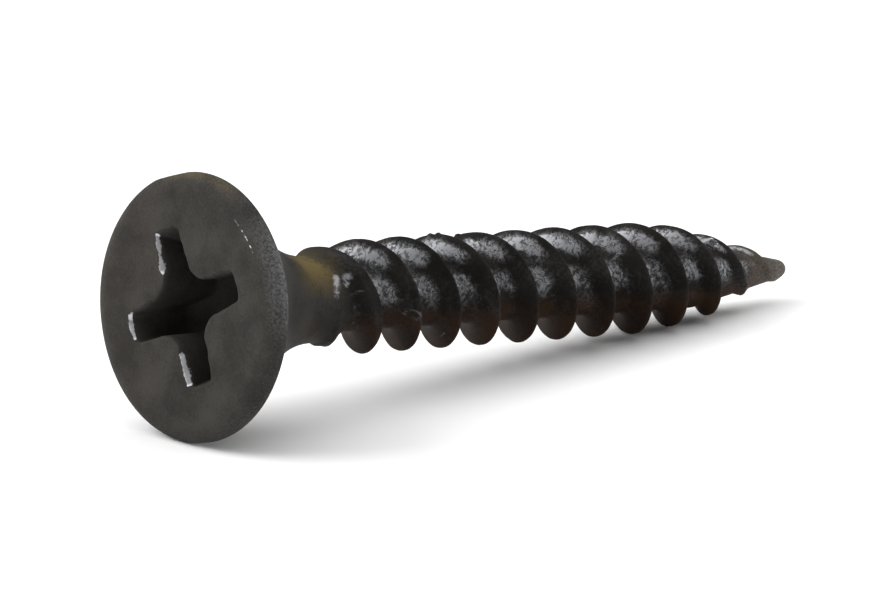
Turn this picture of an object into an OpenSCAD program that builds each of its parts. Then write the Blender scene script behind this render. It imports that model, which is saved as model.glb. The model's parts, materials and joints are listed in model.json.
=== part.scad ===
// Drywall screw, 3.5 x 25 mm: bugle head with a cross recess, plain neck, twin-start coarse thread
// and a plain pointed tip, cold formed and thread rolled from one piece of wire.
// The screw is drawn along its own axis, with the flat face of the head at zero and the point
// upwards, and is then laid on its side: the head's rim and one thread crest touch the surface.

/* [Head] */
// Diameter over the head's rim
head_d = 8.0; // [7.4:0.1:8.6]
// Diameter of the flat face inside the rounded rim
face_d = 6.95; // [6.4:0.05:7.2]
// Distance from the face to the widest part of the rim
rim_round = 0.36; // [0.2:0.02:0.6]
// Length of the straight edge of the rim
rim_edge = 0.14; // [0.08:0.02:0.3]
// Distance from the face to where the bugle curve has become the neck
bugle_h = 4.90; // [4.4:0.05:5.0]
// Where on the axis the bugle curve is steered from, as a share of its height
bugle_pull = 0.56; // [0.4:0.02:0.75]
// Depth of the flat knocked into the rim
dent_depth = 0.09; // [0:0.01:0.2]
// Where the flat is on the rim, turned from the lowest point
dent_at = 161; // [0:1:359]

/* [Cross recess] */
// Span over two opposite wings at the face
recess_span = 4.7; // [4.2:0.05:5.0]
// Width of a wing
wing_w = 0.96; // [0.8:0.02:1.1]
// Radius of the rounded corner between two wings
wing_corner_r = 0.80; // [0.4:0.05:0.9]
// Half angle at which the wing ends close in
wing_taper = 13.25; // [8:0.25:18]
// Depth at which the wing ends meet the floor
wing_depth = 1.70; // [1.4:0.05:1.9]
// Depth of the recess at its middle
recess_depth = 2.60; // [2.2:0.05:2.8]
// Turn of the cross, from the lowest point of the rim
recess_turn = 64; // [0:1:89]

/* [Neck and core] */
// Diameter of the plain neck under the head
neck_d = 2.60; // [2.4:0.02:2.8]
// Diameter at the root of the thread
root_d = 2.06; // [1.9:0.02:2.2]
// Distance from the face to where the neck starts to narrow to the root
neck_end = 5.40; // [5.2:0.05:5.8]
// Length over which the neck narrows to the root
neck_taper = 0.65; // [0.4:0.05:1.6]

/* [Thread] */
// Diameter over the crests
thread_d = 3.44; // [3.2:0.02:3.5]
// Number of starts: the threads that wind round the core side by side
starts = 2; // [1, 2]
// Distance from one crest to the next along the screw
pitch = 1.635; // [1.5:0.001:1.75]
// Width of a thread at its base
thread_base = 0.74; // [0.6:0.02:1.2]
// Width of the blunt crest
crest_w = 0.10; // [0.04:0.01:0.2]
// Distance from the face to the crest on the lowest line of the screw
crest_at = 7.16; // [7:0.01:7.6]
// Distance from the face to where the threads first show as a low shoulder on the neck
thread_from = 5.00; // [4.9:0.05:5.1]
// Height of this shoulder above the neck, on the first thread
shoulder_h = 0.26; // [0.04:0.02:0.3]
// Share of that height on the second thread
second_share = 0.4; // [0.2:0.1:1]
// Length of the shoulder, to where the threads start to grow
shoulder_l = 0.30; // [0.3:0.05:0.6]
// Length over which a thread grows from the shoulder to its full height
run_in = 1.75; // [1:0.05:2]
// How far the start of the first thread leans towards the head
start_lean = 0.20; // [0:0.02:0.3]
// Distance from the face to where the threads start to get lower
fade_from = 18.9; // [17:0.1:20]
// Distance from the face to where the second thread has run out on the point
fade_to = 25.4; // [24.5:0.1:25.5]
// How much sooner the first thread runs out
first_short = 1.0; // [0:0.1:1.5]

/* [Point] */
// Length of the screw, from the face to the blunted point
screw_l = 25.32; // [25:0.02:26]
// Half angle of the point
point_angle = 10.4; // [9:0.1:14]
// Radius of the blunted point
point_r = 0.25; // [0.1:0.01:0.3]
// Height of the dome that closes the point
point_dome = 0.08; // [0.04:0.02:0.12]

/* [Hidden] */
coat = [0.16, 0.16, 0.16];
$fn = 72;
head_r = head_d / 2;
face_r = face_d / 2;
neck_r = neck_d / 2;
root_r = root_d / 2;
thread_r = thread_d / 2;
// Extra length of the recess's cutter above the face
clear = 0.5;
// Points on the rim's rounding and on the bugle curve
rim_steps = 5;
bugle_steps = 9;

// The thread's skin is a grid of columns round the core and rings along it. One ring further
// along and one column further round stays on the same line of the helix.
columns = 24;
rows = columns / starts;
ring_gap = pitch / rows;
lead = pitch * starts;
// The rings are counted back from the point, and the first lies inside the end of the bugle curve
rings = ceil((screw_l - bugle_h) / ring_gap);
skin_from = screw_l - rings * ring_gap;
skin_turn = 360 * (skin_from - crest_at) / lead;
// The thread's first ring is this much thinner than the neck that it sits in
seat = 0.02;
// The neck's plain end covers the first ring and stops half way to the next one but one
neck_cover = skin_from + 1.5 * ring_gap;

function ease(x) = let (t = min(max(x, 0), 1)) t * t * (3 - 2 * t);
function mix(a, b, t) = a + (b - a) * t;

// Radius of the core: neck, taper to the root, then the cone of the point
function core_r(s) =
    min(mix(neck_r - seat, root_r, ease((s - neck_end) / neck_taper)),
        point_r + (screw_l - s) * tan(point_angle));
// Share of the full thread height that is left on the way to the point
function fade(s, strand) =
    let (end = fade_to - (strand == 0 ? first_short : 0))
    1 - min(max((s - fade_from) / (end - fade_from), 0), 1);
// Radius over the crest of a thread that the dies have filled
function full_r(s, strand) = core_r(s) + (thread_r - root_r) * fade(s, strand);
// How far a thread has grown from its shoulder to its full height
function grown(s) = ease((s - thread_from - shoulder_l) / run_in);
// Radius that the metal reaches while a strand still grows. The crest stays blunt until then.
function reach_r(s, strand) =
    let (low = shoulder_h * (strand == 0 ? 1 : second_share) + seat)
    mix(neck_r - seat + low * ease((s - thread_from) / shoulder_l), thread_r, grown(s));
// How far a strand's crest leans from the helix towards the head
function lean(s, strand) = strand == 0 ? start_lean * (1 - grown(s)) : 0;
// Radius over the crest of a strand
function crest_r(s, strand) = min(full_r(s, strand), reach_r(s, strand));
// Height of the thread's section at a distance from its crest, 1 on the crest and 0 at the base
function flank(d) = min(max((thread_base / 2 - abs(d)) / (thread_base / 2 - crest_w / 2), 0), 1);

// Rows from the nearest crest, and the strand that this crest belongs to
function row_off(k) = let (m = (k % rows + rows) % rows) m > rows / 2 ? m - rows : m;
function strand_of(k) = (floor(k / rows + 0.5) % starts + starts) % starts;
function skin_r(ring, col) =
    let (s = skin_from + ring * ring_gap, k = ring - col, strand = strand_of(k),
         height = flank(row_off(k) * ring_gap + lean(s, strand)))
    mix(core_r(s), crest_r(s, strand), min(height * (2 - grown(s)), 1));

// Tilt of the screw when it lies on the rim's back edge and on the crest that touches first
rim_back = rim_round + rim_edge;
touch_steps = floor((fade_to - crest_at) / pitch);
rest_tilt = min([for (k = [2 : touch_steps]) let (s = crest_at + k * pitch)
    atan((head_r - crest_r(s, k % starts)) / (s - rim_back))]);
rest_z = head_r * cos(rest_tilt) + rim_back * sin(rest_tilt);
rest_x = ((screw_l + point_dome) * cos(rest_tilt) - face_r * sin(rest_tilt)) / 2;

// Outline of the turned head and neck: face, rounded rim, bugle curve, neck
function rim_curve() = [for (i = [0 : rim_steps]) let (a = 90 * i / rim_steps)
    [mix(face_r, head_r, sin(a)), rim_round * (1 - cos(a))]];
function bugle_curve() =
    let (z0 = rim_back, zc = bugle_h * bugle_pull)
    [for (i = [0 : bugle_steps]) let (t = i / bugle_steps, u = 1 - t)
        [head_r * u * u + neck_r * (2 * u * t + t * t), z0 * u * u + zc * 2 * u * t + bugle_h * t * t]];

module blank() {
    rotate_extrude()
        polygon(concat([[0, 0]], rim_curve(), bugle_curve(), [[neck_r, neck_cover], [0, neck_cover]]));
}

// Cross seen from the face, with a rounded corner between each two wings
module cross_outline() {
    reach = wing_w / 2 + wing_corner_r;
    for (a = [0, 90])
        rotate(a) square([recess_span + clear, wing_w], center = true);
    for (a = [0 : 90 : 270])
        rotate(a) difference() {
            square(reach);
            translate([reach, reach]) circle(r = wing_corner_r);
        }
}

// Space that the driver's tip sweeps when it turns: wing ends that close in, then a pointed floor
module driver_sweep() {
    flare = tan(wing_taper);
    rotate_extrude()
        polygon([[0, -clear], [recess_span / 2 + clear * flare, -clear],
                 [recess_span / 2 - wing_depth * flare, wing_depth], [0, recess_depth]]);
}

module recess() {
    rotate(recess_turn) intersection() {
        translate([0, 0, -clear]) linear_extrude(recess_depth + 2 * clear) cross_outline();
        driver_sweep();
    }
}

module dent() {
    rotate(dent_at) translate([head_r - dent_depth, -head_r, -clear])
        cube([head_r, head_d, rim_back + 2 * clear]);
}

// Twin-start thread, core and point in one skin, closed at both ends
module threaded_length() {
    points = concat(
        [for (j = [0 : rings], i = [0 : columns - 1])
            let (a = 360 * i / columns + skin_turn, r = skin_r(j, i))
            [r * cos(a), r * sin(a), skin_from + j * ring_gap]],
        [[0, 0, skin_from], [0, 0, screw_l + point_dome]]);
    base = (rings + 1) * columns;
    last = rings * columns;
    faces = concat(
        [for (j = [0 : rings - 1], i = [0 : columns - 1])
            let (n = (i + 1) % columns, a = j * columns + i, b = j * columns + n)
            each [[a, a + columns, b + columns], [a, b + columns, b]]],
        [for (i = [0 : columns - 1]) [base, i, (i + 1) % columns]],
        [for (i = [0 : columns - 1]) [base + 1, last + (i + 1) % columns, last + i]]);
    polyhedron(points, faces, convexity = 8);
}

module screw() {
    color(coat)
        translate([-rest_x, 0, rest_z]) rotate([0, 90 + rest_tilt, 0]) {
            difference() {
                blank();
                recess();
                dent();
            }
            threaded_length();
        }
}

screw();
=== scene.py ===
import json
import math
import bpy
import numpy as np
from mathutils import Matrix, Vector


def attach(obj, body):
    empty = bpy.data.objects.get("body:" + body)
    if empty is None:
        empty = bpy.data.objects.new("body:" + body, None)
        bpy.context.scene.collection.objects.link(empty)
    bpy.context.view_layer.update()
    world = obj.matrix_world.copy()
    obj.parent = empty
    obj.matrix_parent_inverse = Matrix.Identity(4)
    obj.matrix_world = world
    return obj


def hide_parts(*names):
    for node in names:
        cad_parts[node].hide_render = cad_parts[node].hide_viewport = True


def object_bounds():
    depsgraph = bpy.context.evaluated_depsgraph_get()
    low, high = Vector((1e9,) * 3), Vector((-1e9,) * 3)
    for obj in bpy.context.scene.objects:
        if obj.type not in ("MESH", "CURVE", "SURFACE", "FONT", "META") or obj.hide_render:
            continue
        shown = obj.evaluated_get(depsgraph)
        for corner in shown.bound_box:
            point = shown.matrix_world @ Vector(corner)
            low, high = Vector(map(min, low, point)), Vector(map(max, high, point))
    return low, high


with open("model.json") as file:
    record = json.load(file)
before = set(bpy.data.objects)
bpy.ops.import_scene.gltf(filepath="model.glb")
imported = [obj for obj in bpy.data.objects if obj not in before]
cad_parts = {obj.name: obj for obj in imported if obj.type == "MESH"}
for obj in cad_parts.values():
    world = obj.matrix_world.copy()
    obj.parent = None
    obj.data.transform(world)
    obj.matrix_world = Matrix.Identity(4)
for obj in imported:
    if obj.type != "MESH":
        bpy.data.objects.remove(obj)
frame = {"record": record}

cad_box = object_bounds()

# The screw
# A drywall screw is one length of steel wire: the head is punched cold and the thread is rolled,
# then it is hardened and gets a black phosphate coat that later wears through on sharp edges.

# Sizes are in millimetres along the screw's own axis, from the face of the head to the point. Of the
# two axes across it, the first points down as the screw lies and the second to its side.
MM = 0.001

recess_mount = next(m for m in frame["record"]["mounts"] if m["name"] == "driver_recess")
face_centre = Vector(recess_mount["pos_m"])
along_screw = -Vector(recess_mount["axis"]).normalized()
level_side = Vector((0.0, 1.0, 0.0))
down_side = level_side.cross(along_screw)
own_axes = Matrix((down_side, level_side, along_screw)).transposed().to_4x4()
lay_down = Matrix.Translation(face_centre) @ own_axes @ Matrix.Scale(MM, 4)

# Cross recess
# The punch leaves four wings round a pointed floor, and a flat face round them. The lips of the
# recess are rounded, and the driver has worn them to bare steel along the straight walls.
COLUMNS = 192
FACE_R = 3.475
RECESS_SPAN = 4.7
RECESS_TURN = math.radians(64)
WING_TIP_W = 0.88
WING_ROOT_W = 1.04
WING_CORNER_R = 0.80
WING_END_R = 0.14
WING_END_BOW = 0.02
WING_TAPER = math.radians(13.25)
WING_DEPTH = 1.70
RECESS_DEPTH = 2.60
WALL_DRAFT = math.radians(1.5)
LIP_W = 0.115
LIP_W_INSIDE = 0.05
LIP_WAVE = 0.22
LIP_BULGE = 0.14
OCTANT = COLUMNS // 8
WALL_RINGS = 12
FLOOR_RINGS = 14
FLOOR_START = 0.02
FLOOR_SPACING = 0.8
FACE_RINGS = 18
FACE_SPACING = 1.15
# Columns from the middle of a wing's end where the straight wall ends, and the way that a wall faces
# where the driver rubs its lip
STRAIGHT_UNTIL = (19, 16)
RUBBED_FACING = (0.70, 0.85)
# The edge of the face is worn bright near one angle, in a broken line
WORN_EDGE_AT = 222
WORN_EDGE_INNER = 6.4
WORN_EDGE_OUTER = 22.4
WORN_EDGE_WAVE = 0.35


def arc(centre, radius, start, end, steps):
    """Points on an arc in the plane, without its last one."""
    angle = np.radians(np.linspace(start, end, steps + 1)[:-1])
    return np.stack([centre[0] + radius * np.cos(angle), centre[1] + radius * np.sin(angle)], 1)


def straight(start, end, steps):
    """Points on a straight line in the plane, without its last one."""
    share = np.linspace(0, 1, steps + 1)[:-1, None]
    return np.asarray(start) * (1 - share) + np.asarray(end) * share


def cross_outline():
    """Outline of the recess at the face, one point for each column, from the middle of a wing's end."""
    tip, root, reach = WING_TIP_W / 2, WING_ROOT_W / 2, WING_ROOT_W / 2 + WING_CORNER_R
    end_x = RECESS_SPAN / 2
    half = np.concatenate([
        straight((end_x, 0), (end_x - WING_END_BOW, tip - WING_END_R), 3),
        arc((end_x - WING_END_BOW - WING_END_R, tip - WING_END_R), WING_END_R, 0, 86, 4),
        straight((end_x - WING_END_R, tip), (reach, root), 8),
        arc((reach, reach), WING_CORNER_R, 270, 225, 9),
    ])
    diagonal = np.array([[reach, reach]]) - WING_CORNER_R / math.sqrt(2)
    mirrored = np.concatenate([diagonal, half[:0:-1, ::-1]])
    quarter = np.concatenate([half, mirrored])
    turned = []
    for k in range(4):
        angle = RECESS_TURN + k * math.pi / 2
        turn = np.array([[math.cos(angle), math.sin(angle)], [-math.sin(angle), math.cos(angle)]])
        turned.append(quarter @ turn)
    return np.concatenate(turned)


def smooth_noise(angle, seed, waves, size):
    """A closed wavy line round the axis, from a few sines with a fixed seed."""
    random = np.random.default_rng(seed)
    value = np.zeros_like(angle)
    for k in waves:
        value += random.normal() * np.cos(k * angle + random.uniform(0, 2 * math.pi))
    return value * size / math.sqrt(len(waves))


def ramp(values, start, end):
    """A straight rise from 0 at start to 1 at end."""
    return np.clip((values - start) / (end - start), 0, 1)


outline = cross_outline()
step_along = np.roll(outline, -1, 0) - np.roll(outline, 1, 0)
outward = np.stack([step_along[:, 1], -step_along[:, 0]], 1)
outward /= np.linalg.norm(outward, axis=1)[:, None]
start_angle = math.atan2(outline[0, 1], outline[0, 0])
column_angle = start_angle + np.arange(COLUMNS) * 2 * math.pi / COLUMNS
outline_r = np.linalg.norm(outline, axis=1)
place = np.arange(COLUMNS) % (2 * OCTANT)
from_wing_end = np.minimum(place, 2 * OCTANT - place)
straight_share = ramp(from_wing_end, *STRAIGHT_UNTIL)
lip_w = LIP_W_INSIDE + (LIP_W - LIP_W_INSIDE) * straight_share
lip_w = lip_w * (1 + smooth_noise(column_angle, 3, range(9, 60, 3), LIP_WAVE))
rubbed = ramp(outward[:, 1], *RUBBED_FACING) * straight_share
lip_w = lip_w * (0.7 + 0.5 * rubbed)


def sweep_depth(radius):
    """Depth of the space that the turning driver's tip sweeps: steep wing ends, then a pointed floor."""
    foot = RECESS_SPAN / 2 - WING_DEPTH * math.tan(WING_TAPER)
    steep = (RECESS_SPAN / 2 - radius) / math.tan(WING_TAPER)
    shallow = WING_DEPTH + (foot - radius) / foot * (RECESS_DEPTH - WING_DEPTH)
    return np.where(radius > foot, np.maximum(steep, 0), shallow)


rings = []
wear = []
buff_share = []


def add_ring(points_xy, depth, worn=0.0, buffed=0.0):
    """One closed ring of the head, given by its points across the axis and their place along it."""
    depth = np.broadcast_to(depth, (COLUMNS,))
    rings.append(np.column_stack([points_xy, depth]))
    wear.append(np.broadcast_to(worn, (COLUMNS,)))
    buff_share.append(np.full(COLUMNS, buffed))


floor_depth = sweep_depth(outline_r)
draft_shift = np.tan(WALL_DRAFT) * floor_depth
foot_xy = outline - outward * draft_shift[:, None]
for share in np.linspace(FLOOR_START, 1, FLOOR_RINGS + 1)[:-1]:
    ring_xy = foot_xy * share ** FLOOR_SPACING
    add_ring(ring_xy, np.maximum(sweep_depth(np.linalg.norm(ring_xy, axis=1)), lip_w))
for share in np.linspace(0, 1, WALL_RINGS):
    wall_depth = np.maximum(floor_depth * (1 - share) + lip_w * share, lip_w)
    wall_xy = outline - outward * (np.tan(WALL_DRAFT) * wall_depth)[:, None]
    add_ring(wall_xy, wall_depth, worn=0.6 * rubbed * share ** 6)
lip_wear = 0.35 + 0.65 * rubbed
for share in (0.33, 0.66, 1.0):
    bulge = LIP_BULGE * math.sin(share * math.pi)
    lip_xy = outline + outward * (lip_w * (share + bulge * 0.5))[:, None]
    add_ring(lip_xy, lip_w * (1 - share - bulge), worn=lip_wear * (1.0 if share < 1 else 0.7))
lip_edge = rings[-1][:, :2]
rim_circle = FACE_R * np.stack([np.cos(column_angle), np.sin(column_angle)], 1)


def near_angle(middle, inner, outer):
    """For each column, 1 up to an inner angle from the middle one and 0 past an outer angle."""
    away = np.abs((np.degrees(column_angle) - middle + 180) % 360 - 180)
    return ramp(away, outer, inner)


broken = np.clip(0.85 + smooth_noise(column_angle, 21, range(40, 90, 6), WORN_EDGE_WAVE), 0, 1)
creased = near_angle(WORN_EDGE_AT, WORN_EDGE_INNER, WORN_EDGE_OUTER) * broken
face_wear = 0.2 + 0.3 * rubbed
edge_wear = 0.30 + 0.66 * creased
for share in np.linspace(0, 1, FACE_RINGS + 1)[1:]:
    even = share ** FACE_SPACING
    beside_lip = max(0.0, 1 - share * 8)
    add_ring(lip_edge * (1 - even) + rim_circle * even, 0.0,
             worn=face_wear * beside_lip + edge_wear * (share == 1))

# Head
# The rim is rounded where the punch met the die, and the bugle underside runs into the neck. One
# side of the rim has a small flat from a knock, and tumbling has polished another part of it.
HEAD_R = 4.0
RIM_ROUND = 0.36
RIM_EDGE = 0.14
BUGLE_H = 4.9
BUGLE_PULL = 0.56
NECK_R = 1.30
RIM_RINGS = 12
BUGLE_RINGS = 30
RIM_FROM = math.radians(12)
RIM_SWEEP = math.radians(78)
RIM_WAVE = 0.012
RIM_BELOW_SIZE = 0.015
DENT_DEPTH = 0.09
DENT_AT = math.radians(161)
RIM_WEAR = 0.25
BACK_EDGE_WEAR = 0.15
SHEEN_AT = 246
SHEEN_INNER = 10
SHEEN_OUTER = 30
# Stretches over which the coat changes: behind the face, outwards from the axis, to the side, and by
# how far a place faces upwards
# The neck and rim pairs place a painted warm top light, and the second brown pair a painted warm bounce light
# under the bugle.
NECK_TOP_LIGHT_BEHIND = (3.2, 4.1)
NECK_TOP_LIGHT_UPWARD = (0.2, 0.8)
RIM_TOP_LIGHT_BEHIND = (0.9, 0.6)
RIM_TOP_LIGHT_OUTWARD = (3.72, 3.92)
RIM_TOP_LIGHT_UPWARD = (0.90, 0.98)
BROWN_SIDE = (0.5, 5.0)
BOUNCE_BEHIND = (1.5, 3.5)
ROLLED_BEHIND = (1.5, 4.0)
rim_wave = smooth_noise(column_angle, 11, (2, 3, 5, 7), RIM_WAVE) - RIM_BELOW_SIZE


def circle_ring(radius, depth, worn=0.0, buffed=0.0):
    """A ring of the turned outside, cut by the flat on the rim."""
    flat_r = (HEAD_R - DENT_DEPTH) / np.maximum(np.cos(column_angle - DENT_AT), 0.2)
    wavy = radius + rim_wave * (radius - NECK_R) / (HEAD_R - NECK_R)
    cut = np.minimum(wavy, flat_r)
    add_ring(np.stack([cut * np.cos(column_angle), cut * np.sin(column_angle)], 1), depth, worn, buffed)


rim_start = math.sin(RIM_FROM)
for share in np.linspace(0, 1, RIM_RINGS + 1)[1:]:
    angle = RIM_FROM + share * RIM_SWEEP
    height = (1 - math.cos(angle)) - (1 - math.cos(RIM_FROM))
    circle_ring(FACE_R + (HEAD_R - FACE_R) * (math.sin(angle) - rim_start) / (1 - rim_start),
                RIM_ROUND * height / math.cos(RIM_FROM), worn=RIM_WEAR * (1 - share), buffed=share)
for share in (0.5, 1.0):
    circle_ring(HEAD_R, RIM_ROUND + RIM_EDGE * share, worn=BACK_EDGE_WEAR, buffed=1.0)
rim_back = RIM_ROUND + RIM_EDGE
for share in np.linspace(0, 1, BUGLE_RINGS + 1)[1:]:
    rest = 1 - share
    circle_ring(HEAD_R * rest ** 2 + NECK_R * (2 * rest * share + share ** 2),
                rim_back * rest ** 2 + BUGLE_H * BUGLE_PULL * 2 * rest * share + BUGLE_H * share ** 2,
                buffed=rest ** 6)

points = np.concatenate(rings)
centre_index = len(points)
points = np.vstack([points, [0.0, 0.0, RECESS_DEPTH]])
worn_values = np.concatenate(wear + [np.zeros(1)])
faces = []
for ring in range(len(rings) - 1):
    for column in range(COLUMNS):
        a, b = ring * COLUMNS + column, ring * COLUMNS + (column + 1) % COLUMNS
        faces.append((a, b, b + COLUMNS, a + COLUMNS))
for column in range(COLUMNS):
    faces.append((centre_index, (column + 1) % COLUMNS, column))

head_mesh = bpy.data.meshes.new("screw_head")
head_mesh.from_pydata(points.tolist(), [], faces)

# Where the coat is rubbed, polished, half pressed or browned on one side, with a painted warm top light on
# the neck and rim and a painted warm bounce light under the bugle. Upward is 1 on the highest line of the
# screw and -1 on the lowest.
radial = np.linalg.norm(points[:, :2], axis=1)
behind_face = points[:, 2]
upward = -points[:, 0] / np.maximum(radial, 0.01)
# Painted warm top light: an olive tint on the top of the neck and, weaker, on the top of the rim.
neck_painted_top_light = ramp(behind_face, *NECK_TOP_LIGHT_BEHIND) * ramp(upward, *NECK_TOP_LIGHT_UPWARD)
on_rim = ramp(radial, *RIM_TOP_LIGHT_OUTWARD) * ramp(behind_face, *RIM_TOP_LIGHT_BEHIND)
rim_painted_top_light = on_rim * ramp(upward, *RIM_TOP_LIGHT_UPWARD)
sheen = 0.15 + near_angle(SHEEN_AT, SHEEN_INNER, SHEEN_OUTER) * 1.15
brown_side = ramp(points[:, 1], *BROWN_SIDE)
# Painted warm bounce light from below: a tan tint on the underside of the bugle.
painted_bounce_below = 2.2 * np.clip(-upward, 0, 1) * ramp(behind_face, *BOUNCE_BEHIND)
head_values = {
    "worn": worn_values,
    "oil_and_painted_top_light": np.maximum(neck_painted_top_light, rim_painted_top_light * 0.4),
    "buffed": np.concatenate([share * sheen for share in buff_share] + [np.zeros(1)]),
    "rolled": ramp(behind_face, *ROLLED_BEHIND) * 0.25,
    "brown_and_painted_bounce": (brown_side + painted_bounce_below) * 0.25,
}
for name, values in head_values.items():
    head_mesh.attributes.new(name, "FLOAT", "POINT").data.foreach_set("value", values.astype(np.float32))
screw = bpy.data.objects.new("screw_blank", head_mesh)
bpy.context.scene.collection.objects.link(screw)

# Thread and point
# Two flat dies roll a right-hand thread with two starts into the shank, side by side, and pinch the
# end to a point. The crests are sharp, a little wavy and burred in places.
ROOT_R = 1.03
NECK_END = 5.40
NECK_TAPER = 0.65
THREAD_R = 1.72
PITCH = 1.635
THREAD_BASE = 0.74
CREST_W = 0.10
CREST_AT = 7.16
THREAD_FROM = 5.0
SHOULDER_H = 0.26
SECOND_SHARE = 0.4
SHOULDER_L = 0.30
RUN_IN = 1.75
START_LEAN = 0.20
FADE_FROM = 18.9
FADE_TO = 25.4
FIRST_SHORT = 1.0
SCREW_L = 25.32
POINT_ANGLE = 10.4
POINT_R = 0.25
POINT_DOME = 0.08
NOSE = 0.32
LINES_PER_PITCH = 24
LINE_SQUEEZE = 0.6
REACH_SPARE = 0.05
CREST_ROUNDING = 0.12
ROOT_ROUNDING = 0.20
CREST_FLANK = (0.8, 1.0)
CREST_HEIGHT = (0.2, 0.5)
CREST_WANDER = 0.030
WANDER_SCALE = 1.1
FLANK_RELIEF = 0.020
RELIEF_SCALE = 2.6
FINE_AFTER_NECK = (0.1, 0.8)
FINE_BEFORE_END = (0.05, 0.6)
MERGE_GAP = 0.0005
# Stretches of the screw over which the coat changes
# The first stretch ends the painted warm top light on the neck, and the fourth starts the painted warm bounce
# light on the lower side.
TOP_LIGHT_UNTIL = (4.7, 5.5)
ROLLED_FROM = (4.95, 5.8)
PRESSED_FROM = (5.3, 6.0)
BOUNCE_FROM = (4.9, 6.5)
MORE_WORN_FROM = (15.5, 17.5)
POINT_SHEEN = (21.8, 23.6)
POINT_BROWN = (22.4, 24.2)
POINT_OILY = (22.6, 24.8)
POINT_LESS_ROLLED = (22.8, 24.2)
POINT_LESS_PRESSED = (22.9, 24.0)
TIP_SHEEN = (24.0, 24.9)
# The same by how far a place faces upwards, and by its height on the thread's flank
# The first pair places the painted warm bounce light on the lower side, and the second the painted warm top
# light on the neck.
UNDERSIDE = (0.0, 0.52)
TOP_LIGHT_UPWARD = (0.2, 0.8)
ROOT_LOWER = (-0.95, -0.10)
ROOT_UPPER = (-0.25, 0.40)
ROOT_TOP = (0.52, 0.80)
FLANK_TOP = (0.66, 0.96)
ROOT_EDGE = (0.02, 0.22)
FLANK_FOOT = (0.05, 0.35)
FLANK_HEAD = (0.45, 0.95)
# Marks of rolling and handling. Each has its place along the screw, turn in degrees, size, height,
# bare steel and shiny film. Burrs and a nick come first, then the crater near the point, the ring
# scratch, the dash under the fourth turn, light flecks on the neck, and small burrs and dents.
MARKS = (
    (10.20, 164, 0.12, 0.060, 0.1, 0.0), (10.36, 172, 0.10, 0.050, 0.1, 0.0),
    (11.74, 150, 0.13, 0.060, 0.1, 0.0), (16.98, 185.5, 0.08, -0.030, 0.3, 0.0),
    (16.96, 188, 0.08, -0.030, 0.3, 0.0), (16.93, 191, 0.08, -0.030, 0.3, 0.0),
    (16.90, 194, 0.08, -0.030, 0.3, 0.0), (16.88, 197, 0.08, -0.020, 0.3, 0.0),
    (17.06, 221, 0.07, 0.010, 0.8, 0.5),
    (21.72, 196, 0.27, 0.060, 1.7, 0.0), (21.72, 196, 0.18, -0.110, -2.6, -0.3),
    (7.95, 283, 0.20, 0.012, 0.1, 0.75), (7.95, 283, 0.14, -0.018, -0.2, -1.0),
    (9.84, 318, 0.07, 0.006, 0.85, 0.0), (9.88, 322.5, 0.07, 0.006, 0.95, 0.0),
    (9.92, 327, 0.07, 0.006, 1.0, 0.0), (9.96, 331.5, 0.07, 0.006, 1.0, 0.0),
    (10.00, 336, 0.07, 0.006, 0.85, 0.0),
    (5.07, 231, 0.17, 0.0, 0.0, 0.85), (5.02, 240, 0.17, 0.0, 0.0, 0.85),
    (4.98, 249, 0.16, 0.0, 0.0, 0.7), (4.95, 256, 0.12, 0.0, 0.0, 0.6),
    (5.45, 232, 0.15, 0.0, 0.1, 0.8), (5.41, 241, 0.13, 0.0, 0.1, 0.7),
    (5.35, 257, 0.06, 0.0, 0.3, 0.9), (5.73, 252, 0.06, 0.0, 0.3, 0.9),
    (22.85, 287, 0.13, 0.060, 0.2, 0.0), (24.46, 275, 0.16, -0.050, 0.0, 0.0),
    (14.30, 158, 0.12, 0.045, 0.1, 0.0), (19.10, 170, 0.14, -0.035, 0.1, 0.0),
    (12.60, 240, 0.12, -0.030, 0.3, 0.0), (15.10, 300, 0.12, -0.030, 0.2, 0.0),
)


class Field:
    """A number in a node tree. Arithmetic on it adds Math nodes, so that a rule reads as a formula."""

    def __init__(self, tree, socket):
        self.tree = tree
        self.socket = socket

    def maths(self, operation, *others):
        settings = {"operation": operation}
        return Field(self.tree, add_node(self.tree, "ShaderNodeMath", settings, self, *others)[0])

    def __add__(self, other):
        return self.maths("ADD", other)

    def __sub__(self, other):
        return self.maths("SUBTRACT", other)

    def __mul__(self, other):
        return self.maths("MULTIPLY", other)

    def __truediv__(self, other):
        return self.maths("DIVIDE", other)

    def __rsub__(self, other):
        return self * -1.0 + other

    def __rtruediv__(self, other):
        return self.maths("POWER", -1.0) * other

    __radd__ = __add__
    __rmul__ = __mul__


def feed(tree, socket, value):
    """Gives an input socket its value: a link from a field, or a constant."""
    if isinstance(value, Field):
        tree.links.new(value.socket, socket)
    elif isinstance(value, bpy.types.NodeSocket):
        tree.links.new(value, socket)
    else:
        socket.default_value = value


def add_node(tree, kind, settings, *values, **named):
    """Adds a node with its settings and inputs, and returns its outputs."""
    node = tree.nodes.new(kind)
    for key, value in settings.items():
        setattr(node, key, value)
    for socket, value in zip(node.inputs, values):
        feed(tree, socket, value)
    for key, value in named.items():
        feed(tree, node.inputs[key.replace("_", " ")], value)
    return node.outputs


def ease(value, start, end):
    """A smooth step of a field, from 0 at start to 1 at end."""
    settings = {"interpolation_type": "SMOOTHSTEP"}
    outputs = add_node(value.tree, "ShaderNodeMapRange", settings, value, start, end, 0.0, 1.0)
    return Field(value.tree, outputs[0])


def noise(tree, place, scale, detail=2.0, seed=0.0):
    """A noise field with a middle of zero, read at a place."""
    outputs = add_node(tree, "ShaderNodeTexNoise", {"noise_dimensions": "4D"},
                       Vector=place, W=seed, Scale=scale, Detail=detail)
    return Field(tree, outputs[0]) - 0.5


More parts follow.
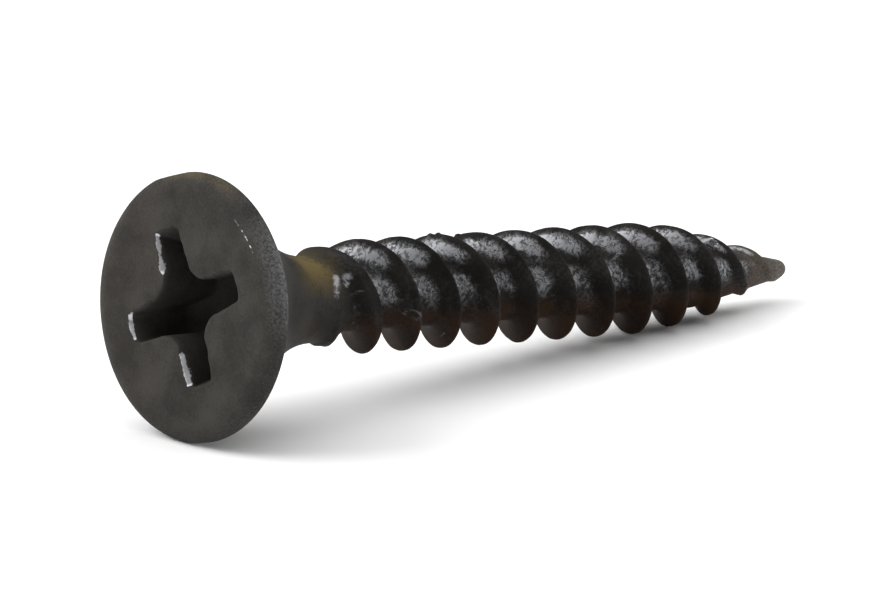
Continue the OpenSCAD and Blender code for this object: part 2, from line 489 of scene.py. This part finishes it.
thread_sizes = {
    "Shank from": BUGLE_H, "Neck radius": NECK_R, "Root radius": ROOT_R, "Neck end": NECK_END,
    "Neck taper": NECK_TAPER, "Thread radius": THREAD_R, "Pitch": PITCH, "Thread base": THREAD_BASE,
    "Crest width": CREST_W, "Crest at": CREST_AT, "Thread from": THREAD_FROM, "Run in": RUN_IN,
    "Shoulder height": SHOULDER_H, "Shoulder length": SHOULDER_L, "Second share": SECOND_SHARE,
    "Start lean": START_LEAN, "Fade from": FADE_FROM, "Fade to": FADE_TO, "First short": FIRST_SHORT,
    "Screw length": SCREW_L, "Point slope": math.tan(math.radians(POINT_ANGLE)), "Point radius": POINT_R,
    "Point dome": POINT_DOME, "Nose": NOSE, "Crest wander": CREST_WANDER, "Flank relief": FLANK_RELIEF,
    "Seed": 5.0,
}
tree = bpy.data.node_groups.new("rolled_thread", "GeometryNodeTree")
tree.interface.new_socket("Head", in_out="INPUT", socket_type="NodeSocketGeometry")
for name, value in thread_sizes.items():
    socket = tree.interface.new_socket(name, in_out="INPUT", socket_type="NodeSocketFloat")
    socket.default_value = value
tree.interface.new_socket("Coat", in_out="INPUT", socket_type="NodeSocketMaterial")
tree.interface.new_socket("Screw", in_out="OUTPUT", socket_type="NodeSocketGeometry")
group_input = tree.nodes.new("NodeGroupInput")
size = {name: Field(tree, group_input.outputs[name]) for name in thread_sizes}

# The grid's lines run along the helix. Each line has one place across the thread, and each column
# one angle; what lies past the neck or the point is drawn in to its end and merged.
lead = size["Pitch"] * 2.0
first_pitch = math.floor((BUGLE_H - CREST_AT) / PITCH - 2) - 1
last_pitch = math.ceil((SCREW_L + POINT_DOME - CREST_AT) / PITCH) + 1
line_count = (last_pitch - first_pitch) * LINES_PER_PITCH + 1
grid = add_node(tree, "GeometryNodeMeshGrid", {}, 1.0, 1.0, line_count, COLUMNS + 1)[0]
index = Field(tree, add_node(tree, "GeometryNodeInputIndex", {})[0])
line = (index / float(COLUMNS + 1)).maths("FLOOR")
turn = (index - line * float(COLUMNS + 1)) / float(COLUMNS)
angle = turn * (2 * math.pi) + start_angle
pitches = line / float(LINES_PER_PITCH) + float(first_pitch)
crest_number = pitches.maths("ROUND")
offset = pitches - crest_number
closer = (offset * (2 * math.pi)).maths("SINE") * (LINE_SQUEEZE / (2 * math.pi))
across = (offset - closer) * size["Pitch"]
strand = crest_number.maths("FLOORED_MODULO", 2.0)
end = size["Screw length"] + size["Point dome"]
raw = size["Crest at"] + size["Pitch"] * crest_number + across + lead * (angle / (2 * math.pi))
along = raw.maths("MAXIMUM", size["Shank from"]).maths("MINIMUM", end)

neck_share = ease(along, size["Neck end"], size["Neck end"] + size["Neck taper"])
shank = size["Neck radius"] + (size["Root radius"] - size["Neck radius"]) * neck_share
cone = size["Point radius"] + (size["Screw length"] - along) * size["Point slope"]
to_end = ((end - along) / size["Nose"]).maths("MINIMUM", 1.0).maths("MAXIMUM", 0.0)
nose = (1.0 - (1.0 - to_end) * (1.0 - to_end)).maths("SQRT")
core = shank.maths("MINIMUM", cone) * nose
grows_at = size["Thread from"] + size["Shoulder length"]
grown = ease(along, grows_at, grows_at + size["Run in"])
low = size["Shoulder height"] * (1.0 - strand * (1.0 - size["Second share"]))
shoulder = size["Neck radius"] + low * ease(along, size["Thread from"], grows_at)
reach = shoulder + (size["Thread radius"] + REACH_SPARE - shoulder) * grown
leaned = across + size["Start lean"] * (1.0 - grown) * (1.0 - strand)
run_out = size["Fade to"] - size["First short"] * (1.0 - strand)
fade = ((run_out - along) / (run_out - size["Fade from"])).maths("MINIMUM", 1.0).maths("MAXIMUM", 0.0)
height = (size["Thread radius"] - size["Root radius"]) * fade
flank_w = (size["Thread base"] - size["Crest width"]) * 0.5
slope = (size["Thread base"] * 0.5 - leaned.maths("ABSOLUTE")) / flank_w
flank = (slope * (2.0 - grown)).maths("SMOOTH_MIN", 1.0, CREST_ROUNDING)
flank = flank.maths("SMOOTH_MAX", 0.0, ROOT_ROUNDING)
smooth_r = core + height.maths("MINIMUM", reach - core) * flank


def combine(x, y, z):
    return add_node(tree, "ShaderNodeCombineXYZ", {}, x, y, z)[0]


smooth_place = combine(smooth_r * angle.maths("COSINE"), smooth_r * angle.maths("SINE"), along)
crest = ease(flank, *CREST_FLANK) * ease(smooth_r - core, *CREST_HEIGHT)
after_neck = [size["Shank from"] + gap for gap in FINE_AFTER_NECK]
fine_fade = ease(along, *after_neck) * ease(end - along, *FINE_BEFORE_END)
wander = noise(tree, smooth_place, WANDER_SCALE, 2.0, size["Seed"]) * crest * size["Crest wander"] * 2.0
relief = noise(tree, smooth_place, RELIEF_SCALE, 3.0, size["Seed"] + 7.0) * size["Flank relief"]
marked = [0.0, 0.0, 0.0]
for mark_at, mark_turn, mark_size, *amounts in MARKS:
    turned_by = math.radians(mark_turn if mark_turn > math.degrees(start_angle) else mark_turn + 360)
    gap_along = along - mark_at
    gap_round = (angle - turned_by) * smooth_r
    near = ease(gap_along * gap_along + gap_round * gap_round, mark_size ** 2, 0.0)
    marked = [total + near * amount if amount else total for total, amount in zip(marked, amounts)]
radius = smooth_r + (wander + relief + marked[0]) * fine_fade
outward_grid = add_node(tree, "GeometryNodeFlipFaces", {}, Mesh=grid)[0]
moved = add_node(tree, "GeometryNodeSetPosition", {}, Geometry=outward_grid,
                 Position=combine(radius * angle.maths("COSINE"), radius * angle.maths("SINE"), along))[0]


def keep_values(geometry, name, kind, domain, value):
    """Stores a field on the mesh for the material to read."""
    return add_node(tree, "GeometryNodeStoreNamedAttribute", {"data_type": kind, "domain": domain},
                    Geometry=geometry, Name=name, Value=value)[0]


# Masks for the coat: where it is rubbed, pressed by the dies or polished, its oil and brown tints, and the
# painted warm top light and painted warm bounce light
upward = angle.maths("COSINE") * -1.0
on_root = 1.0 - ease(flank, *ROOT_EDGE)
mid_side = ease(flank, *FLANK_FOOT) * (1.0 - ease(flank, *FLANK_HEAD))
past_neck = ease(along, *PRESSED_FROM)
root_share = ease(upward, *ROOT_UPPER) * 0.75 + ease(upward, *ROOT_LOWER) * 0.25
pressed_root = root_share * (0.58 - ease(upward, *ROOT_TOP) * 0.48) * past_neck
pressed_side = ease(upward, *FLANK_TOP) * mid_side * past_neck
less_pressed = 1.0 - ease(along, *POINT_LESS_PRESSED) * 0.4
pressed = (pressed_root * on_root + pressed_side) * less_pressed + marked[2]
less_rolled = 1.0 - ease(along, *POINT_LESS_ROLLED) * 0.7
# Painted warm top light: an olive tint on the top of the neck.
neck_painted_top_light = ease(upward, *TOP_LIGHT_UPWARD) * (1.0 - ease(along, *TOP_LIGHT_UNTIL))
# Painted warm bounce light from below: a tan tint on the lower side of the thread.
painted_bounce_below = ease(upward * -1.0, *UNDERSIDE) * ease(along, *BOUNCE_FROM)
brown_and_painted_bounce = painted_bounce_below * 0.9 + ease(along, *POINT_BROWN)
# The oil mask holds the painted top light on the neck and an oil tint on the point, and the brown mask holds
# the painted bounce light below and a brown tint on the point.
masks = {
    "worn": crest * (0.24 + ease(along, *MORE_WORN_FROM) * 0.20) + marked[1],
    "rolled": (0.25 + ease(along, *ROLLED_FROM) * 0.75) * less_rolled,
    "buffed": ease(along, *POINT_SHEEN) * 0.5 + ease(along, *TIP_SHEEN) * 0.5,
    "pressed": pressed.maths("MINIMUM", 1.0).maths("MAXIMUM", 0.0),
    "oil_and_painted_top_light": neck_painted_top_light + ease(along, *POINT_OILY) * 0.25,
    "brown_and_painted_bounce": brown_and_painted_bounce.maths("MINIMUM", 1.0),
}
stored = moved
for name, value in masks.items():
    stored = keep_values(stored, name, "FLOAT", "POINT", value)
turns_on = turn + (crest_number - strand) * 0.5
stored = keep_values(stored, "UVMap", "FLOAT2", "CORNER",
                     combine(turns_on * (2 * math.pi) * size["Root radius"], across, 0.0))
joined_node = tree.nodes.new("GeometryNodeJoinGeometry")
tree.links.new(group_input.outputs["Head"], joined_node.inputs[0])
tree.links.new(stored, joined_node.inputs[0])
merged = add_node(tree, "GeometryNodeMergeByDistance", {}, Geometry=joined_node.outputs[0],
                  Distance=MERGE_GAP)[0]
rounded = add_node(tree, "GeometryNodeSetShadeSmooth", {}, Geometry=merged)[0]
real = add_node(tree, "GeometryNodeRealizeInstances", {}, Geometry=rounded)[0]
coated = add_node(tree, "GeometryNodeSetMaterial", {}, Geometry=real, Material=group_input.outputs["Coat"])[0]
group_output = tree.nodes.new("NodeGroupOutput")
tree.links.new(coated, group_output.inputs[0])

# Phosphate coat
# Dull black crystals cover the head. The dies have pressed them on the thread into a shiny film that has
# crazed. The olive on the top of the neck and rim is painted warm top light, and the tan on the lower side is
# painted warm bounce light from below. The point has a brown tint and a little dried oil, and the lips of the
# recess and parts of the crests are rubbed to bare steel.


def begin_group(name, values, results):
    """Starts a node group with a place and some numbers as its inputs, and returns it with them."""
    group = bpy.data.node_groups.new(name, "ShaderNodeTree")
    group.interface.new_socket("Place", in_out="INPUT", socket_type="NodeSocketVector")
    for label, value in values.items():
        socket = group.interface.new_socket(label, in_out="INPUT", socket_type="NodeSocketFloat")
        socket.default_value = value
    for label in results:
        group.interface.new_socket(label, in_out="OUTPUT", socket_type="NodeSocketFloat")
    given = group.nodes.new("NodeGroupInput").outputs
    return group, given["Place"], {label: Field(group, given[label]) for label in values}


def end_group(group, results):
    """Links the results of a node group to its outputs."""
    final = group.nodes.new("NodeGroupOutput")
    for label, value in results.items():
        feed(group, final.inputs[label], value)


def use_group(tree, group, place, values):
    """Places a node group in a material, and returns its outputs as fields."""
    node = tree.nodes.new("ShaderNodeGroup")
    node.node_tree = group
    feed(tree, node.inputs["Place"], place)
    for label, value in values.items():
        feed(tree, node.inputs[label], value)
    return {output.name: Field(tree, output) for output in node.outputs}


def mix_colour(tree, share, a, b):
    """A colour between a and b."""
    node = tree.nodes.new("ShaderNodeMix")
    node.data_type = "RGBA"
    feed(tree, node.inputs[0], share)
    feed(tree, node.inputs[6], a)
    feed(tree, node.inputs[7], b)
    return node.outputs[2]


# Crazed film: a shiny film in patches, broken by thin cracks in places and by dull flecks. The
# pattern is warped, so that the cracks aren't straight.
WARP_SIZE = 0.3
WARP_BY = 0.6
crazed, spot, given = begin_group(
    "crazed_film", {"Cell": 0.15, "Crack": 0.022, "Patch": 1.0, "Cover": 0.0, "Seed": 3.0},
    ("Shine", "Relief"))
warp = add_node(crazed, "ShaderNodeTexNoise", {"noise_dimensions": "4D"}, Vector=spot, W=given["Seed"],
                Scale=1.0 / WARP_SIZE, Detail=4.0)[1]
warp = add_node(crazed, "ShaderNodeVectorMath", {"operation": "SUBTRACT"}, warp, (0.5, 0.5, 0.5))[0]
warp = add_node(crazed, "ShaderNodeVectorMath", {"operation": "SCALE"}, Vector=warp, Scale=WARP_BY)[0]
bent = add_node(crazed, "ShaderNodeVectorMath", {"operation": "ADD"}, warp, spot)[0]
edge = Field(crazed, add_node(crazed, "ShaderNodeTexVoronoi", {"feature": "DISTANCE_TO_EDGE"}, Vector=bent,
                              Scale=1.0 / given["Cell"])[0])
sound = ease(noise(crazed, spot, 0.35 / given["Cell"], 2.0, given["Seed"] + 3.0), -0.06, 0.08)
solid = ease(edge, 0.0, given["Crack"] / given["Cell"]).maths("MAXIMUM", sound)
patches = noise(crazed, spot, 1.0 / given["Patch"], 4.0, given["Seed"] + 1.0)
fleck = noise(crazed, bent, 1.2 / given["Cell"], 6.0, given["Seed"] + 2.0)
covered = ease(patches + given["Cover"] + fleck * 0.4, -0.27, 0.17)
shine = covered * (0.25 + ease(fleck, -0.12, 0.08) * 0.75) * (0.25 + solid * 0.75)
end_group(crazed, {"Shine": shine, "Relief": solid * 0.45 + fleck * 0.35})

# Rubbed edge: bare steel that starts at an edge and frays into the coat
rubbed_edge, spot, given = begin_group(
    "rubbed_edge", {"Edge": 0.0, "Grain": 0.08, "Fray": 0.9, "Seed": 1.0}, ("Bare",))
fray = noise(rubbed_edge, spot, 1.0 / given["Grain"], 4.0, given["Seed"])
stretch = noise(rubbed_edge, spot, 0.12 / given["Grain"], 3.0, given["Seed"] + 1.0)
end_group(rubbed_edge, {"Bare": ease(given["Edge"] + (fray + stretch) * given["Fray"], 0.72, 0.95)})

# Mottle: a coarse and a fine cloud that make a dull coat uneven
mottle, spot, given = begin_group("mottle", {"Cloud": 1.1, "Grain": 0.07, "Seed": 2.0}, ("Tone", "Grit"))
cloud = noise(mottle, spot, 1.0 / given["Cloud"], 4.0, given["Seed"])
grit = noise(mottle, spot, 1.0 / given["Grain"], 3.0, given["Seed"] + 1.0)
end_group(mottle, {"Tone": ease(cloud * 1.4 + grit * 0.6, -0.3, 0.3), "Grit": grit})

coat = bpy.data.materials.new("black_phosphate")
coat.use_nodes = True
nodes = coat.node_tree
nodes.nodes.clear()
shader = nodes.nodes.new("ShaderNodeBsdfPrincipled")
surface = nodes.nodes.new("ShaderNodeOutputMaterial")
nodes.links.new(shader.outputs[0], surface.inputs[0])


def stored_mask(name):
    """A mask that the head's mesh and the thread's tree have stored."""
    return Field(nodes, add_node(nodes, "ShaderNodeAttribute", {"attribute_name": name})[2])


place = add_node(nodes, "ShaderNodeTexCoord", {})[3]
place_mm = add_node(nodes, "ShaderNodeVectorMath", {"operation": "SCALE"}, Vector=place, Scale=1 / MM)[0]
worn = stored_mask("worn")
rolled = stored_mask("rolled")
pressed_film = stored_mask("pressed")
oil_and_painted_top_light = stored_mask("oil_and_painted_top_light")
brown_and_painted_bounce = stored_mask("brown_and_painted_bounce")
buffed = stored_mask("buffed")
film = use_group(nodes, crazed, place_mm, {"Cover": pressed_film * 0.36 - brown_and_painted_bounce * 0.12 - 0.17})
tone = use_group(nodes, mottle, place_mm, {})
bare = use_group(nodes, rubbed_edge, place_mm, {"Edge": worn})["Bare"]
grit = tone["Grit"]

DULL_DARK = (0.0256, 0.0235, 0.0211, 1)
DULL_LIGHT = (0.0453, 0.0416, 0.0374, 1)
PRESSED_DARK = (0.0080, 0.0073, 0.0066, 1)
PRESSED_LIGHT = (0.0185, 0.0166, 0.0148, 1)
# The tan colours serve the brown tint of the point and the head's side, and the painted warm bounce light
# below.
TAN_AND_BOUNCE_LOOSE = (0.062, 0.0480, 0.0385, 1)
TAN_AND_BOUNCE_PRESSED = (0.035, 0.0182, 0.0100, 1)
# Olive for the painted warm top light on the neck and rim, and for the oil tint on the point.
OIL_AND_TOP_LIGHT_OLIVE = (0.122, 0.092, 0.037, 1)
FILM_STEEL = (0.50, 0.507, 0.533, 1)
BARE_STEEL = (0.52, 0.52, 0.54, 1)
MOST_SHINE = 0.56
ROUGHEST = 0.62
SMOOTHEST = 0.24
SPECULAR = 0.05
BUMP_MM = 0.006

shiny = (film["Shine"] * (0.02 + rolled * 0.03 + pressed_film * 1.10)).maths("MINIMUM", MOST_SHINE)
shiny = shiny.maths("MAXIMUM", buffed * (0.12 + grit * 0.5))
dull = mix_colour(nodes, tone["Tone"], DULL_DARK, DULL_LIGHT)
pressed = mix_colour(nodes, tone["Tone"], PRESSED_DARK, PRESSED_LIGHT)
tan = mix_colour(nodes, rolled, TAN_AND_BOUNCE_LOOSE, TAN_AND_BOUNCE_PRESSED)
colour = mix_colour(nodes, rolled, dull, pressed)
# Tan for the painted warm bounce light below and for the brown tint on the point and the head's side.
colour = mix_colour(nodes, brown_and_painted_bounce * (0.4 + ease(tone["Tone"], 0.1, 0.7) * 0.6), colour, tan)
# Olive for the painted warm top light on the neck and rim, and for the oil tint on the point.
colour = mix_colour(nodes, oil_and_painted_top_light * (0.35 + ease(tone["Tone"], 0.0, 0.7) * 0.65), colour, OIL_AND_TOP_LIGHT_OLIVE)
colour = mix_colour(nodes, shiny, colour, FILM_STEEL)
colour = mix_colour(nodes, bare, colour, BARE_STEEL)
nodes.links.new(colour, shader.inputs["Base Color"])
feed(nodes, shader.inputs["Metallic"], bare.maths("MAXIMUM", shiny))
roughness = ROUGHEST - shiny * 0.27 - bare * 0.20 - grit * 0.15
feed(nodes, shader.inputs["Roughness"], roughness.maths("MAXIMUM", SMOOTHEST))
shader.inputs["Specular IOR Level"].default_value = SPECULAR
bump = nodes.nodes.new("ShaderNodeBump")
bump.inputs["Distance"].default_value = BUMP_MM * MM
bump.inputs["Strength"].default_value = 1.0
feed(nodes, bump.inputs["Height"], film["Relief"] * (0.05 + pressed_film * 0.65) + grit * 0.4)
nodes.links.new(bump.outputs[0], shader.inputs["Normal"])

# The finished screw becomes one plain mesh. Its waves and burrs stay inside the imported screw's box.
modifier = screw.modifiers.new("rolled_thread", "NODES")
modifier.node_group = tree
for socket in tree.interface.items_tree:
    if socket.in_out == "INPUT" and socket.name in thread_sizes:
        modifier[socket.identifier] = thread_sizes[socket.name]
    if socket.in_out == "INPUT" and socket.name == "Coat":
        modifier[socket.identifier] = coat
bpy.context.view_layer.update()
evaluated = screw.evaluated_get(bpy.context.evaluated_depsgraph_get())
finished_mesh = bpy.data.meshes.new_from_object(evaluated)
screw.modifiers.remove(modifier)
bpy.data.objects.remove(screw)
finished_mesh.transform(lay_down)
corners = np.empty(len(finished_mesh.vertices) * 3, np.float32)
finished_mesh.vertices.foreach_get("co", corners)
finished_mesh.vertices.foreach_set("co", np.clip(corners.reshape(-1, 3), cad_box[0], cad_box[1]).ravel())
finished_mesh.name = "drywall_screw"
piece = bpy.data.objects.new("drywall_screw", finished_mesh)
bpy.context.scene.collection.objects.link(piece)
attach(piece, "root")
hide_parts("screw")

# Floor and light
# A pale table under plain soft lights: a wide one overhead, one behind at the left whose light the
# upper flanks send back, and a weak one at the right for the root and the neck.
FLOOR_SIZE = 3.0
FLOOR_COLOUR = (0.9, 0.9, 0.9, 1)
ROOM_LIGHT = 0.26
# Name, azimuth, elevation, distance, width, height and power of each light
LIGHTS = (
    ("overhead_light", 136, 80, 1.20, 2.00, 1.80, 18.0),
    ("left_light", -134, 34, 0.50, 0.46, 0.40, 2.55),
    ("right_light", 60, 24, 0.50, 0.34, 0.26, 0.6),
)
floor_mesh = bpy.data.meshes.new("floor")
corner = FLOOR_SIZE / 2
floor_corners = [(-corner, -corner, 0), (corner, -corner, 0), (corner, corner, 0), (-corner, corner, 0)]
floor_mesh.from_pydata(floor_corners, [], [(0, 1, 2, 3)])
floor = bpy.data.objects.new("floor", floor_mesh)
bpy.context.scene.collection.objects.link(floor)
floor_finish = bpy.data.materials.new("pale_floor")
floor_finish.use_nodes = True
floor_shader = floor_finish.node_tree.nodes["Principled BSDF"]
floor_shader.inputs["Base Color"].default_value = FLOOR_COLOUR
floor_shader.inputs["Roughness"].default_value = 0.9
floor_shader.inputs["Specular IOR Level"].default_value = 0.0
floor_mesh.materials.append(floor_finish)


def soft_light(name, azimuth, elevation, distance, width, height, watts):
    """A rectangular light that faces the screw, from an azimuth counted as the camera's is."""
    a, e = math.radians(azimuth), math.radians(elevation)
    away = Vector((math.sin(a) * math.cos(e), -math.cos(a) * math.cos(e), math.sin(e)))
    lamp = bpy.data.lights.new(name, "AREA")
    lamp.shape = "RECTANGLE"
    lamp.size, lamp.size_y, lamp.energy = width, height, watts
    lamp_object = bpy.data.objects.new(name, lamp)
    lamp_object.location = away * distance
    lamp_object.rotation_mode = "QUATERNION"
    lamp_object.rotation_quaternion = (-away).to_track_quat("-Z", "Y")
    bpy.context.scene.collection.objects.link(lamp_object)


for light in LIGHTS:
    soft_light(*light)
world = bpy.data.worlds.new("plain_white")
world.use_nodes = True
background = world.node_tree.nodes["Background"]
background.inputs["Color"].default_value = (1, 1, 1, 1)
background.inputs["Strength"].default_value = ROOM_LIGHT
bpy.context.scene.world = world
bpy.context.scene.view_settings.view_transform = "Standard"

# Camera
# A long lens that looks a little down on the screw, from the head's side.
AIM = Vector((-1.976, 0.0, 2.267)) * MM
VIEW_AZIMUTH = math.radians(43.397)
VIEW_DOWN = math.radians(14.258)
VIEW_DISTANCE = 0.24156
LENS_PX = 8000
FRAME_W = 884
SENSOR_MM = 36.0
camera_data = bpy.data.cameras.new("camera")
camera_data.sensor_width = SENSOR_MM
camera_data.lens = LENS_PX * SENSOR_MM / FRAME_W
camera_data.clip_start = 0.01
camera_data.clip_end = 10.0
camera = bpy.data.objects.new("camera", camera_data)
level = math.cos(VIEW_DOWN)
look = Vector((math.sin(VIEW_AZIMUTH) * level, math.cos(VIEW_AZIMUTH) * level, -math.sin(VIEW_DOWN)))
camera.location = AIM - look * VIEW_DISTANCE
camera.rotation_mode = "QUATERNION"
camera.rotation_quaternion = look.to_track_quat("-Z", "Y")
bpy.context.scene.collection.objects.link(camera)
bpy.context.scene.camera = camera
